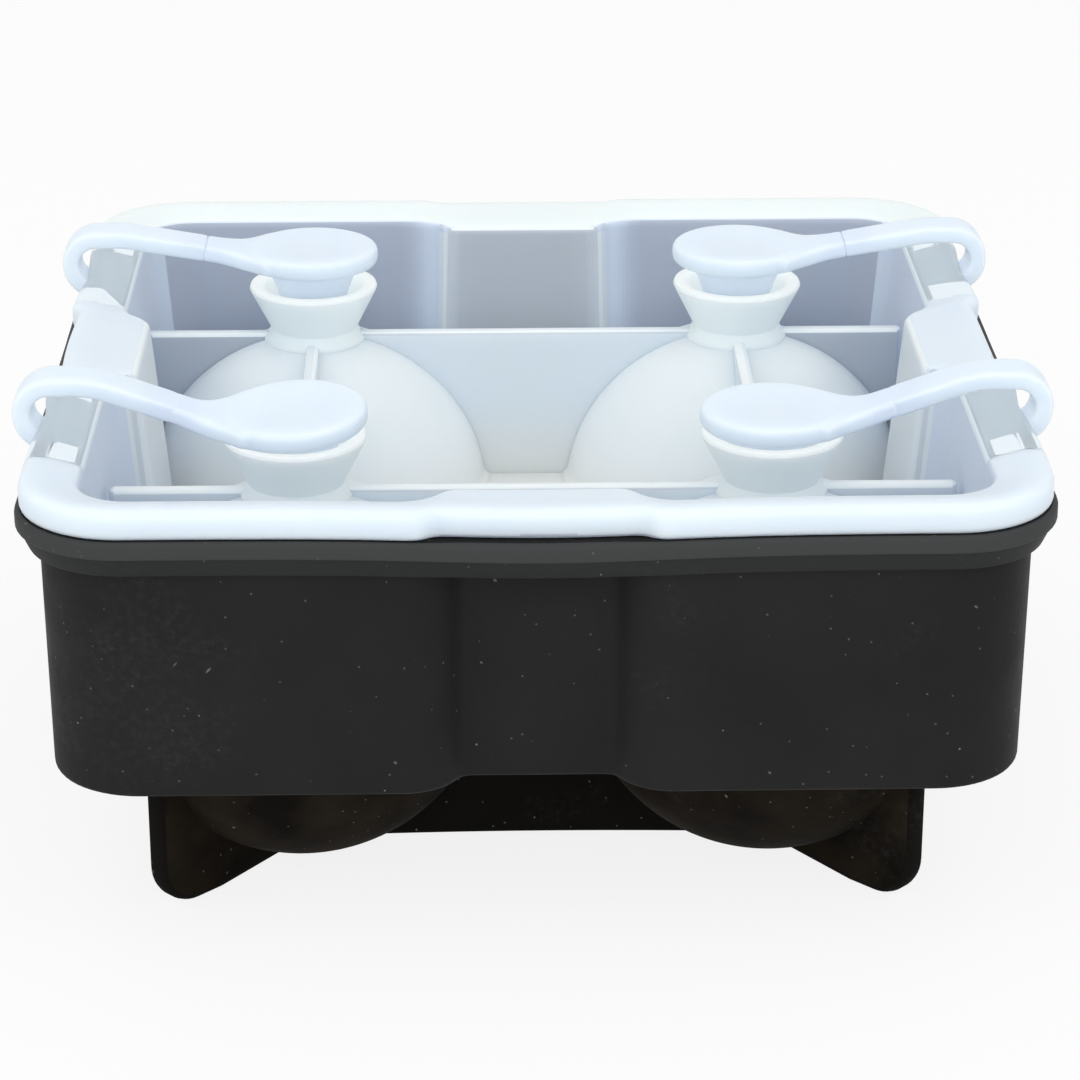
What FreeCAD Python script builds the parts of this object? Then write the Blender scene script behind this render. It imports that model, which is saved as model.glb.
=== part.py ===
# Ice ball mould for four balls: a black lower tray, a translucent lid that nests in it,
# and four captive stoppers, each on a strap that curls over the lid's rim.
# Millimetres, +Z up, X across the straps. The origin is on the table, midway between the balls.
import FreeCAD
import Part
import math
import os

Vector = FreeCAD.Vector

# Where a round surface's seam lies, clear of the ribs, webs and feet
seam_turn = 67.0

# Balls
ball_diameter = 45.0
ball_gap = 15.0
cup_wall = 2.3
dome_wall = 1.7
pole_height = 1.6

# Lid wall, deck, ribs and rim
lid_wall = 2.4
lid_wall_draft = 2.6
lid_wall_margin = 0.6
well_notch_depth = 3.8
deck_thickness = 2.5
lid_rib_thickness = 1.8
rim_above_dome = 5.9
rim_thickness = 3.8
rim_dish = 1.4
rim_setback = 0.6
rim_land = 0.75
rim_notch_depth = 1.6
rim_notch_flat = 11.2
rim_top_rounding = 1.1
rim_under_rounding = 0.7

# Funnels
neck_rise = 0.85
throat_radius = 4.7
neck_radius = 6.1
funnel_height = 6.35
funnel_mouth_radius = 7.8
funnel_lip_radius = 9.0

# Tray skirt, flange and underside
nest_gap = 0.4
skirt_wall = 2.4
skirt_taper = 0.3
skirt_drop = 4.6
skirt_corner_radius = 11.5
notch_depth = 4.9
notch_flat = 8.7
notch_end = 15.4
floor_thickness = 2.5
flange_overhang = 2.7
flange_lip = 2.2
flange_rounding = 0.5
flange_corner_radius = 13.5
bead_height = 2.1
bead_set_in = 0.4
bead_taper = 1.2
web_thickness = 2.4
web_arch = 0.4
plate_bury_share = 0.7
plate_proud = 0.15
plate_bite = 1.0
pole_overlap = 4.0

# Diagonal feet
foot_thickness = 2.8
foot_reach = 18.2
foot_land = 4.0
foot_tip_radius = 6.0

# Stoppers
stopper_disc_radius = 9.2
stopper_disc_thickness = 2.7
stopper_disc_rounding = 0.9
stopper_dish = 0.4
stopper_seat_gap = 0.5
stopper_lift = 2.3
plug_length = 5.3
plug_clearance = 0.3
plug_chamfer = 0.5

# Straps
strap_width = 5.6
strap_thickness = 2.4
strap_rounding = 0.8
strap_bend_radius = 3.6
strap_bulge = 2.7
strap_curve_share = 0.62222
strap_level = 2.6
strap_root_angle = 52.0
strap_tail_reach = 15.0
strap_join_reach = 8.1
strap_web_radius = 6.0
strap_web_bite = 0.3

# Heights and half-widths that follow
ball_radius = ball_diameter / 2
grid = ball_radius + ball_gap / 2
cup_radius = ball_radius + cup_wall
dome_radius = ball_radius + dome_wall
equator_z = pole_height + cup_radius
dome_top_z = equator_z + dome_radius
neck_z = dome_top_z + neck_rise
funnel_top_z = neck_z + funnel_height
flange_top_z = dome_top_z + rim_above_dome
rim_top_z = flange_top_z + rim_thickness
deck_top_z = equator_z + deck_thickness
skirt_bottom_z = equator_z - skirt_drop
floor_under_z = equator_z - floor_thickness

wall_bottom_half = grid + dome_radius + lid_wall_margin
wall_top_half = wall_bottom_half + lid_wall_draft
tray_inner_half = wall_top_half + nest_gap
skirt_half = tray_inner_half + skirt_wall
flange_half = skirt_half + flange_overhang
rim_half = flange_half - rim_setback
rim_inner_half = wall_top_half - lid_wall
well_corner_radius = skirt_corner_radius - skirt_wall - lid_wall
rim_corner_radius = flange_corner_radius - rim_setback

# Strap bends: the lower end of each curl leaves the rim level with its underside, and the
# two curves on the way down to the disc grow with the ball
strap_curve_radius = ball_radius * strap_curve_share
bend_x = rim_half + strap_bulge - strap_bend_radius - strap_thickness / 2
bend_z = flange_top_z + strap_thickness / 2 + strap_bend_radius


def through(points):
    """Arc through three points, given as (x, y, z) tuples."""
    return Part.Arc(*[Vector(*p) for p in points]).toShape()


def line(a, b):
    return Part.LineSegment(Vector(*a), Vector(*b)).toShape()


def turned(shape, quarter_turns):
    """A copy turned about the vertical axis by quarter turns."""
    copy = shape.copy()
    copy.rotate(Vector(0, 0, 0), Vector(0, 0, 1), 90 * quarter_turns)
    return copy


def corner_arc(half, radius, z):
    """The rounded corner at +X, -Y of a square outline."""
    centre = half - radius
    slant = radius * math.sqrt(0.5)
    return through([(centre, -half, z), (centre + slant, -centre - slant, z), (half, -centre, z)])


def square_outline(half, radius, z):
    """Plain rounded square at height z."""
    side = line((radius - half, -half, z), (half - radius, -half, z))
    edges = [turned(e, k) for k in range(4) for e in (side, corner_arc(half, radius, z))]
    return Part.Wire(edges)


def notched_outline(half, radius, depth, flat, end, z):
    """Rounded square with a shallow notch in the middle of each side.

    Each notch has a flat floor out to `flat`, and reaches the side at `end`
    by a reverse curve of two equal arcs.
    """
    run = end - flat
    arc_radius = (run ** 2 + depth ** 2) / (4 * depth)
    half_turn = math.atan2(depth, run)
    side_y, floor_y = -half, depth - half
    along = arc_radius * math.sin(half_turn)
    across = arc_radius * (1 - math.cos(half_turn))
    middle = ((flat + end) / 2, side_y + depth / 2)
    outer = (end - along, side_y + across)
    inner = (flat + along, floor_y - across)
    right = [(end, side_y), outer, middle, inner, (flat, floor_y)]
    left = [(-x, y) for x, y in right]
    at = lambda points: [(x, y, z) for x, y in points]
    side = [
        line((radius - half, side_y, z), (-end, side_y, z)),
        through(at(left[0:3])),
        through(at(left[2:5])),
        line((-flat, floor_y, z), (flat, floor_y, z)),
        through(at(right[4:1:-1])),
        through(at(right[2::-1])),
        line((end, side_y, z), (half - radius, side_y, z)),
        corner_arc(half, radius, z),
    ]
    return Part.Wire([turned(e, k) for k in range(4) for e in side])


def nested_outline(half, radius, depth, z):
    """Outline of a wall that follows the skirt's notches further in.

    The notch grows wider with the distance in, so that the walls keep their thickness
    along the notch's slopes.
    """
    slope = math.atan2(notch_depth, notch_end - notch_flat)
    spread = (skirt_half - half) * math.tan(slope / 2)
    return notched_outline(half, radius, depth, notch_flat + spread, notch_end + spread, z)


def between(lower, upper):
    """Solid between two outlines with the same edges."""
    return Part.makeLoft([lower, upper], True, True)


def upright(outline, height):
    return Part.Face(outline).extrude(Vector(0, 0, height))


def ball_places():
    return [(x, y) for y in (-grid, grid) for x in (-grid, grid)]


def revolved(profile, x, y):
    """Solid of revolution of an (r, z) wire about the vertical axis through x, y."""
    shape = Part.Face(profile).revolve(Vector(0, 0, 0), Vector(0, 0, 1), 360)
    shape.translate(Vector(x, y, 0))
    return shape


def polygon(points):
    """Closed wire through (r, z) points in the XZ plane."""
    corners = [Vector(r, 0, z) for r, z in points]
    return Part.makePolygon(corners + corners[:1])


def half_ball(radius, x, y, upper):
    """Upper or lower half of a ball centred on the equator plane."""
    way = 1 if upper else -1
    arc = through([(radius, 0, 0), (radius * math.sqrt(0.5), 0, way * radius * math.sqrt(0.5)),
                   (0, 0, way * radius)])
    profile = Part.Wire([arc, line((0, 0, way * radius), (0, 0, 0)), line((0, 0, 0), (radius, 0, 0))])
    profile.rotate(Vector(0, 0, 0), Vector(0, 0, 1), seam_turn)
    profile.translate(Vector(0, 0, equator_z))
    return revolved(profile, x, y)


def rounded(shape, radius, wanted):
    """Round the edges that `wanted` picks."""
    return shape.makeFillet(radius, [e for e in shape.Edges if wanted(e)])


def lies_at(height):
    """Picks edges that lie level at one height."""
    def test(edge):
        box = edge.BoundBox
        return abs(box.ZMin - height) < 1e-4 and abs(box.ZMax - height) < 1e-4
    return test


# Lower tray

def skirt_outline(inset, z):
    """The skirt's plan, moved inwards by inset. The skirt narrows a little downwards."""
    taper = skirt_taper * (flange_top_z - z) / (flange_top_z - skirt_bottom_z)
    return nested_outline(skirt_half - taper - inset, skirt_corner_radius - inset, notch_depth, z)


def flange():
    """Lip that carries the lid's rim, over a bead that tapers back to the skirt."""
    lip_z = flange_top_z - flange_lip
    lip = upright(square_outline(flange_half, flange_corner_radius, lip_z), flange_lip)
    lip = rounded(lip, flange_rounding, lambda e: lies_at(lip_z)(e) or lies_at(flange_top_z)(e))
    bead_half = flange_half - bead_set_in
    top = square_outline(bead_half, flange_corner_radius - bead_set_in, lip_z)
    low = square_outline(bead_half - bead_taper, flange_corner_radius - bead_set_in - bead_taper,
                         lip_z - bead_height)
    return lip.fuse(between(low, top))


def buried_ends(inner_end, outer_end, level):
    """Underside points of a plate that starts inside a cup's wall and breaks out by its pole."""
    return [(inner_end, 0, level + cup_wall * plate_bury_share), (outer_end, 0, level - plate_proud)]


def web(quarter_turns, side):
    """Web that joins two neighbouring cups, its lower edge arched a little."""
    inner, outer = grid + pole_overlap, grid - pole_overlap / 2
    left = buried_ends(-inner, -outer, pole_height)
    right = buried_ends(inner, outer, pole_height)
    top = [(inner, 0, floor_under_z + plate_bite), (-inner, 0, floor_under_z + plate_bite)]
    crown = (0, 0, left[1][2] + web_arch)
    edges = [line(*left), through([left[1], crown, right[1]]), line(right[1], right[0]),
             line(right[0], top[0]), line(*top), line(top[1], left[0])]
    plate = Part.Face(Part.Wire(edges)).extrude(Vector(0, web_thickness, 0))
    plate.translate(Vector(0, side * grid - web_thickness / 2, 0))
    return turned(plate, quarter_turns)


def foot(quarter_turns):
    """Diagonal fin from a cup's pole out to its foot, drawn in its own plane."""
    pole = grid * math.sqrt(2)
    tip = (grid + foot_reach) * math.sqrt(2)
    heel = tip - foot_tip_radius
    slant = foot_tip_radius * math.sqrt(0.5)
    top_z = floor_under_z + plate_bite
    start, out = buried_ends(pole - pole_overlap, pole + pole_overlap / 2, pole_height)
    edges = [
        line(start, out),
        line(out, (heel - foot_land, 0, 0)),
        line((heel - foot_land, 0, 0), (heel, 0, 0)),
        through([(heel, 0, 0), (heel + slant, 0, foot_tip_radius - slant), (tip, 0, foot_tip_radius)]),
        line((tip, 0, foot_tip_radius), (tip, 0, top_z)),
        line((tip, 0, top_z), (start[0], 0, top_z)),
        line((start[0], 0, top_z), start),
    ]
    fin = Part.Face(Part.Wire(edges)).extrude(Vector(0, foot_thickness, 0))
    fin.translate(Vector(0, -foot_thickness / 2, 0))
    fin.rotate(Vector(0, 0, 0), Vector(0, 0, 1), 45)
    return turned(fin, quarter_turns)


def lower_tray():
    """Black tray: four half cups hang from a floor inside a notched skirt with a flange."""
    solid = between(skirt_outline(0, skirt_bottom_z), skirt_outline(0, flange_top_z))
    solid = solid.fuse(flange())
    well = between(skirt_outline(skirt_wall, equator_z), skirt_outline(skirt_wall, flange_top_z))
    hollow = between(skirt_outline(skirt_wall, skirt_bottom_z), skirt_outline(skirt_wall, floor_under_z))
    solid = solid.cut(well).cut(hollow)
    for x, y in ball_places():
        solid = solid.fuse(half_ball(cup_radius, x, y, upper=False))
    for quarter in range(4):
        solid = solid.fuse(web(quarter % 2, 1 if quarter < 2 else -1)).fuse(foot(quarter))
    for x, y in ball_places():
        solid = solid.cut(half_ball(ball_radius, x, y, upper=False))
    return solid.removeSplitter()


# Upper lid

def wall_half(z):
    """Half-width of the lid's wall, drafted so that the lid pulls out of the tray."""
    return wall_bottom_half + lid_wall_draft * (z - equator_z) / (flange_top_z - equator_z)


def wall_outline(z):
    """Outer face of the lid's wall."""
    return nested_outline(wall_half(z), well_corner_radius + lid_wall, notch_depth, z)


def well_outline(z):
    """Inner face of the lid's wall, with a shallower notch."""
    return nested_outline(wall_half(z) - lid_wall, well_corner_radius, well_notch_depth, z)


def rim():
    """Broad rim that lies on the tray's flange, rounded outside."""
    outline = notched_outline(rim_half, rim_corner_radius, rim_notch_depth,
                              rim_notch_flat, notch_end, flange_top_z)
    body = upright(outline, rim_thickness)
    body = rounded(body, rim_top_rounding, lies_at(rim_top_z))
    return rounded(body, rim_under_rounding, lies_at(flange_top_z))


def rim_slope():
    """What the rim's dished top leaves open, from the land down to the well's edge."""
    edge_z = rim_top_z - rim_dish
    inset = rim_top_rounding + rim_land
    land = notched_outline(rim_half - inset, rim_corner_radius - inset, rim_notch_depth,
                           rim_notch_flat, notch_end, rim_top_z)
    slope = between(well_outline(edge_z), land)
    above = Part.Face(land).extrude(Vector(0, 0, rim_thickness))
    return slope.fuse(above)


def lid_ribs():
    """Upright ribs through the ball centres, level with the dome tops, both ways."""
    length = 2 * wall_bottom_half
    ribs = []
    for side in (-1, 1):
        rib = Part.makeBox(length, lid_rib_thickness, dome_top_z - equator_z)
        rib.translate(Vector(-length / 2, side * grid - lid_rib_thickness / 2, equator_z))
        ribs += [rib, turned(rib, 1)]
    return ribs


def funnel(x, y):
    """Filling funnel on a dome, its bore still solid."""
    profile = polygon([(0, equator_z + ball_radius), (neck_radius, equator_z + ball_radius),
                       (neck_radius, neck_z), (funnel_lip_radius, funnel_top_z), (0, funnel_top_z)])
    return revolved(profile, x, y)


def funnel_bore(x, y):
    """Throat into the ball, opening to the funnel's mouth."""
    profile = polygon([(0, equator_z), (throat_radius, equator_z), (throat_radius, neck_z),
                       (funnel_mouth_radius, funnel_top_z), (0, funnel_top_z)])
    return revolved(profile, x, y)


def upper_lid():
    """Translucent lid: rim, drafted wall, deck, four half domes, ribs, funnels and strap roots."""
    solid = between(wall_outline(equator_z), wall_outline(flange_top_z)).fuse(rim())
    well = between(well_outline(deck_top_z), well_outline(rim_top_z - rim_dish))
    solid = solid.cut(well).cut(rim_slope())
    domes = [half_ball(dome_radius, x, y, upper=True) for x, y in ball_places()]
    funnels = [funnel(x, y) for x, y in ball_places()]
    solid = solid.fuse(domes + lid_ribs() + funnels)
    for x, y in ball_places():
        solid = solid.cut(half_ball(ball_radius, x, y, upper=True)).cut(funnel_bore(x, y))
    for side_x in (-1, 1):
        for side_y in (-1, 1):
            solid = solid.fuse(strap_root(side_x, side_y))
    return solid.removeSplitter()


# Stoppers and straps, drawn for the right-hand side in the XZ plane

def band(start, heading, steps):
    """Wire of the strap's thickness along straight runs and arcs in the XZ plane.

    start is (x, z) and heading is in degrees from +X towards +Z. A step is
    ("run", length) or ("turn", radius, degrees), positive to the left.
    """
    x, z = start
    angle = math.radians(heading)

    def beside(px, pz, a, side):
        reach = side * strap_thickness / 2
        return (px - reach * math.sin(a), 0, pz + reach * math.cos(a))

    first = [beside(x, z, angle, side) for side in (1, -1)]
    edges = [line(*first)]
    for kind, size, *turn in steps:
        if kind == "run":
            stops = [angle, angle]
            path = [(x, z), (x + size * math.cos(angle), z + size * math.sin(angle))]
            draw = lambda points: line(*points)
        else:
            bend = math.radians(turn[0])
            radius = math.copysign(size, bend)
            centre = (x - radius * math.sin(angle), z + radius * math.cos(angle))
            stops = [angle, angle + bend / 2, angle + bend]
            path = [(centre[0] + radius * math.sin(a), centre[1] - radius * math.cos(a)) for a in stops]
            draw = through
        for side in (1, -1):
            edges.append(draw([beside(*point, a, side) for point, a in zip(path, stops)]))
        (x, z), angle = path[-1], stops[-1]
    edges.append(line(*[beside(x, z, angle, side) for side in (1, -1)]))
    return Part.Wire(Part.__sortEdges__(edges))


def ribbon(wire, width):
    """The band carried across a width, centred on the XZ plane."""
    body = Part.Face(wire).extrude(Vector(0, width, 0))
    body.translate(Vector(0, -width / 2, 0))
    return body


def edges_along(shape):
    """Picks the long edges on both sides of a ribbon."""
    ends = (shape.BoundBox.YMin, shape.BoundBox.YMax)

    def test(edge):
        box = edge.BoundBox
        level = any(abs(box.YMin - y) < 1e-4 and abs(box.YMax - y) < 1e-4 for y in ends)
        return level and edge.Length > strap_thickness + 1e-3
    return test


def placed(shape, side_x, side_y):
    """Put a right-hand shape at its ball: mirrored for the left, moved along Y."""
    copy = shape.mirror(Vector(0, 0, 0), Vector(1, 0, 0)) if side_x < 0 else shape.copy()
    copy.translate(Vector(0, side_y * grid, 0))
    return copy


def strap_root(side_x, side_y):
    """Start of the curl, moulded into the rim's outer edge."""
    bite = rim_half - rim_inner_half - strap_bend_radius
    start = (bend_x - bite, flange_top_z + strap_thickness / 2)
    wire = band(start, 0, [("run", bite), ("turn", strap_bend_radius, strap_root_angle)])
    return placed(ribbon(wire, strap_width), side_x, side_y)


def strap_steps(seat_z):
    """Free strap: the rest of the curl, a level run, and an S down to the disc's middle."""
    reach = bend_x - strap_level - grid - strap_join_reach
    drop = bend_z + strap_bend_radius - seat_z - stopper_disc_thickness / 2
    across = 2 * strap_curve_radius
    run = math.sqrt(reach ** 2 + (across - drop) ** 2 - across ** 2)
    slope = math.degrees(math.atan2(across * reach - run * (across - drop),
                                    run * reach + across * (across - drop)))
    return [("turn", strap_bend_radius, 180 - strap_root_angle), ("run", strap_level),
            ("turn", strap_curve_radius, slope), ("run", run),
            ("turn", strap_curve_radius, -slope), ("run", strap_join_reach / 2)]


def strap_ribbon(seat_z, width):
    turn = math.radians(strap_root_angle)
    start = (bend_x + strap_bend_radius * math.sin(turn), bend_z - strap_bend_radius * math.cos(turn))
    return ribbon(band(start, strap_root_angle, strap_steps(seat_z)), width)


def beyond_tail(inner):
    """Block that keeps what lies inside, or outside, the strap's tail end."""
    tail_x = grid + strap_tail_reach
    low_x, high_x = (grid, tail_x) if inner else (tail_x, 2 * bend_x)
    size = 4 * stopper_disc_radius
    return Part.makeBox(high_x - low_x, size, rim_top_z, Vector(low_x, -size / 2, flange_top_z / 2))


def strap(seat_z, side_x, side_y):
    """One strap, from its root on the rim to the tail that is part of the stopper."""
    body = strap_ribbon(seat_z, strap_width)
    body = rounded(body, strap_rounding, edges_along(body))
    return placed(body.common(beyond_tail(inner=False)), side_x, side_y)


def tail_plan():
    """Plan of the tail: the strap's width, flaring by a concave arc into the round disc."""
    half = strap_width / 2
    inside = stopper_disc_radius - strap_web_bite
    centre_y = half + strap_web_radius
    far = inside + strap_web_radius
    centre_x = math.sqrt(far ** 2 - centre_y ** 2)
    share = inside / far
    touch = (centre_x * share, centre_y * share)
    toward = math.atan2(touch[1] - centre_y, touch[0] - centre_x)
    halfway = (toward - math.pi / 2) / 2
    middle = (centre_x + strap_web_radius * math.cos(halfway),
              centre_y + strap_web_radius * math.sin(halfway))
    level = flange_top_z / 2
    upper = [(strap_tail_reach, half), (centre_x, half), middle, touch]
    at = lambda points, sign: [(grid + x, sign * y, level) for x, y in points]
    edges = []
    for sign in (1, -1):
        points = at(upper, sign)
        edges += [line(points[0], points[1]), through(points[1:])]
    edges.append(line(at(upper, 1)[0], at(upper, -1)[0]))
    edges.append(line(at(upper, 1)[-1], at(upper, -1)[-1]))
    return Part.Wire(Part.__sortEdges__(edges))


def plug_profile(under):
    """Points (r, z) of the tapered plug, clear of the funnel's cone by the clearance."""
    slope = (funnel_mouth_radius - throat_radius) / funnel_height
    clearance = plug_clearance * math.sqrt(1 + slope ** 2)
    top = funnel_mouth_radius + slope * stopper_seat_gap - clearance
    tip = top - slope * plug_length
    low = under - plug_length
    return [(0, low), (tip - plug_chamfer, low), (tip, low + plug_chamfer), (top, under)]


def disc_edges(under):
    """Rounded edge of the disc, and its top, dished as a shallow piece of a ball."""
    over = under + stopper_disc_thickness
    radius, soft = stopper_disc_radius, stopper_disc_rounding
    turn = soft * (1 - math.sqrt(0.5))
    flat = radius - soft
    dish_radius = (flat ** 2 + stopper_dish ** 2) / (2 * stopper_dish)
    halfway_z = over - stopper_dish + dish_radius - math.sqrt(dish_radius ** 2 - flat ** 2 / 4)
    return [
        through([(flat, 0, under), (radius - turn, 0, under + turn), (radius, 0, under + soft)]),
        line((radius, 0, under + soft), (radius, 0, over - soft)),
        through([(radius, 0, over - soft), (radius - turn, 0, over - turn), (flat, 0, over)]),
        through([(flat, 0, over), (flat / 2, 0, halfway_z), (0, 0, over - stopper_dish)]),
    ]


def stopper(seat_z, side_x, side_y):
    """Disc with a dished top and a tapered plug below, and the tail of its strap."""
    edges = disc_edges(seat_z)
    corners = [(r, 0, z) for r, z in plug_profile(seat_z)]
    corners.append((stopper_disc_radius - stopper_disc_rounding, 0, seat_z))
    corners.insert(0, (0, 0, seat_z + stopper_disc_thickness - stopper_dish))
    edges += [line(a, b) for a, b in zip(corners, corners[1:])]
    body = revolved(Part.Wire(Part.__sortEdges__(edges)), grid, 0)
    plan = Part.Face(tail_plan()).extrude(Vector(0, 0, rim_top_z))
    tail = strap_ribbon(seat_z, 4 * stopper_disc_radius).common(plan)
    return placed(body.fuse(tail).removeSplitter(), side_x, side_y)


def parts():
    """Every node by name. The back stoppers stand a little proud of their funnels."""
    seat = funnel_top_z + stopper_seat_gap
    nodes = {"lower_tray": lower_tray(), "upper_lid": upper_lid()}
    for row, side_y, lift in (("front", -1, 0), ("back", 1, stopper_lift)):
        for column, side_x in (("left", -1), ("right", 1)):
            nodes[f"stopper_{row}_{column}"] = stopper(seat + lift, side_x, side_y)
            nodes[f"strap_{row}_{column}"] = strap(seat + lift, side_x, side_y)
    return nodes


def main():
    os.makedirs("parts", exist_ok=True)
    for name, shape in parts().items():
        shape.exportStep(f"parts/{name}.step")
        box = shape.BoundBox
        print(name, "valid" if shape.isValid() else "NOT VALID", len(shape.Solids), "solid",
              f"{shape.Volume / 1000:.2f} cm3",
              f"x {box.XMin:.1f} {box.XMax:.1f} y {box.YMin:.1f} {box.YMax:.1f}",
              f"z {box.ZMin:.2f} {box.ZMax:.2f}")


main()
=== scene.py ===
"""Looks of a silicone ice ball mould: black footed tray, translucent lid, tethered stoppers.

Lengths are in millimetres, unless a name ends in _M. skin() and plate() turn them into metres
when they make a mesh, and mesh_points() turns them back.
"""
import math
import bpy
import numpy as np
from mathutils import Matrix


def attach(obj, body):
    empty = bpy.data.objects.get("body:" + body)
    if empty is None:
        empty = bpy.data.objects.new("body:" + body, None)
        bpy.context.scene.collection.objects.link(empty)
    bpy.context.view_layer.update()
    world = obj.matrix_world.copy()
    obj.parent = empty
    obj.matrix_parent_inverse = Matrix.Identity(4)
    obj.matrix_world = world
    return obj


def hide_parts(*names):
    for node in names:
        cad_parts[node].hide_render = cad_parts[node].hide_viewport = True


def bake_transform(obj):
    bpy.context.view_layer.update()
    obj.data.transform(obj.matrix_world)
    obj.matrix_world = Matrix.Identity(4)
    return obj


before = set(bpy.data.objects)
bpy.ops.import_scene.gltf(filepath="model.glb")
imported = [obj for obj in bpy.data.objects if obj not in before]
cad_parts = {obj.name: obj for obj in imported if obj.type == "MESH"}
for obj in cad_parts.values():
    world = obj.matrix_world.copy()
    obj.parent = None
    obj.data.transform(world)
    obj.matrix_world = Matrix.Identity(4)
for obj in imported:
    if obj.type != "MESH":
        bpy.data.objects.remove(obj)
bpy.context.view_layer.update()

MM = 0.001

# Balls and heights
BALL_RADIUS = 22.5
GRID = 30.0
CUP_RADIUS = 24.8
DOME_RADIUS = 24.2
EQUATOR = 26.4
DOME_TOP = EQUATOR + DOME_RADIUS
NECK = DOME_TOP + 0.85
FUNNEL_TOP = NECK + 6.35
FLANGE_TOP = DOME_TOP + 5.9
RIM_TOP = FLANGE_TOP + 3.8
DECK_TOP = EQUATOR + 2.5
FLOOR_UNDER = EQUATOR - 2.5
SKIRT_BOTTOM = EQUATOR - 4.6

# Walls, as half-widths of the square
WALL_BOTTOM_HALF = 54.8
WALL_DRAFT = 2.6
WALL = 2.4
SKIRT_HALF = 60.2
SKIRT_TAPER = 0.3
FLANGE_HALF = 62.9
RIM_HALF = 62.3
RIM_DISH = 1.4
RIM_LAND = 2.6
SKIRT_CORNER = 11.5
FLANGE_CORNER = 13.5
WELL_CORNER = SKIRT_CORNER - 2 * WALL
NOTCH_DEPTH = 4.9
NOTCH_FLAT = 7.9
NOTCH_END = 16.2
HOLLOW_SHARE = 0.24
WELL_NOTCH_DEPTH = 3.8
RIM_NOTCH_DEPTH = 1.3
RIM_NOTCH_FLAT = 11.2
RIM_NOTCH_END = 15.4
RECESS_REACH = 13.3
RECESS_FLARE = 3.0
RECESS_INNER = 54.4
LIP_HEIGHT = 2.2
BEAD_HEIGHT = 2.7
BEAD_SET_IN = 0.4
BEAD_TAPER = 1.2

# Ribs, webs and feet
RIB_THICKNESS = 1.8
WEB_THICKNESS = 2.4
WEB_LOW = 1.45
WEB_ARCH = 0.4
WEB_HALF = 28.0
FOOT_THICKNESS = 2.8
FOOT_TIP = 48.2 * math.sqrt(2)
FOOT_TIP_RADIUS = 6.0
FOOT_LAND = 4.0

# Funnels and stoppers
THROAT_RADIUS = 4.7
NECK_RADIUS = 6.1
MOUTH_RADIUS = 7.1
LIP_RADIUS = 9.0
DISC_RADIUS = 9.2
DISC_THICKNESS = 2.7
DISC_DISH = 0.4
DISH_RADIUS = 3.0
DISH_EDGE = 2.2
PLUG_LENGTH = 5.3
PLUG_TOP = 6.43
PLUG_TIP = 4.43
FRONT_SEAT = FUNNEL_TOP + 0.5
BACK_SEAT = FRONT_SEAT + 2.3

# Straps
STRAP_WIDTH = 6.1
STRAP_THICKNESS = 2.4
BEND_RADIUS = 3.6
CURL_REACH = 2.7
BEND_X = RIM_HALF + CURL_REACH - BEND_RADIUS - STRAP_THICKNESS / 2
BEND_Z = FLANGE_TOP + STRAP_THICKNESS / 2 + BEND_RADIUS
CURVE_RADIUS = 14.0
RECESS_FLOOR = FLANGE_TOP + STRAP_THICKNESS - 0.15
STRAP_LEVEL = 2.6
STRAP_JOIN = 8.1
STRAP_ROOT = 4.0
FLARE_REACH = 14.0
FLARE_LENGTH = 7.5
FLARE_WIDTH = 4.4
TAIL_REACH = 15.0
TAIL_OVERLAP = 0.8
TAIL_NARROWING = 0.14
TAIL_NARROWING_LENGTH = 1.8

# What is particular to the photographed copy
SAG = 0.8
SAG_MIDDLE = 1.0
SAG_SPREAD = 19.0
SAG_FRONT = 49.0
SAG_FOOT = 44.0
SAG_FADE = 8.0
RIM_EDGE_START = 57.0
RIM_EDGE_FADE = 4.5
RECESS_SETBACK = 0.8
SETBACK_SPREAD = 6.0
LEFT_BULGE = 0.6
BULGE_SPREAD = 12.0
TILT = 0.075

# How much painted shade each part of the lid gets, from 0 to 1: a darkening that stands for the dark
# tray seen through the silicone and for shade in the well. The notch slope's relief is painted light.
WALL_VEIL = 0.53
SIDE_WALL_VEIL = 0.15
NOTCH_SLOPE_RELIEF = 0.33
NOTCH_SLOPE_PLACE = 13.5
NOTCH_SLOPE_SPREAD = 2.6
OUTER_WALL_VEIL = 0.3
DECK_VEIL = 0.1
RIB_VEIL = 0.36
RIB_TOP_VEIL = 0.16
DOME_VEIL = 0.05
BALL_VEIL = 0.3

PLACES = [(x, y) for y in (-1, 1) for x in (-1, 1)]
ROW = {-1: "front", 1: "back"}
COLUMN = {-1: "left", 1: "right"}


# Surfaces

def skin(name, rings):
    """Mesh through rings of points, an array (levels, around, 3) in millimetres.

    Neighbouring rings are joined by quads. Both ends are closed by a fan to the ring's middle.
    """
    levels, around = rings.shape[:2]
    index = np.arange(levels * around).reshape(levels, around)
    low, high = index[:-1], index[1:]
    faces = np.stack([low, np.roll(low, -1, 1), np.roll(high, -1, 1), high], -1).reshape(-1, 4).tolist()
    first, last = levels * around, levels * around + 1
    points = np.concatenate([rings.reshape(-1, 3), rings[[0, -1]].mean(axis=1)])
    faces += [[first, b, a] for a, b in zip(index[0], np.roll(index[0], -1))]
    faces += [[last, a, b] for a, b in zip(index[-1], np.roll(index[-1], -1))]
    mesh = bpy.data.meshes.new(name)
    mesh.from_pydata((points * MM).tolist(), [], faces)
    piece = bpy.data.objects.new(name, mesh)
    bpy.context.scene.collection.objects.link(piece)
    return piece


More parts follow.
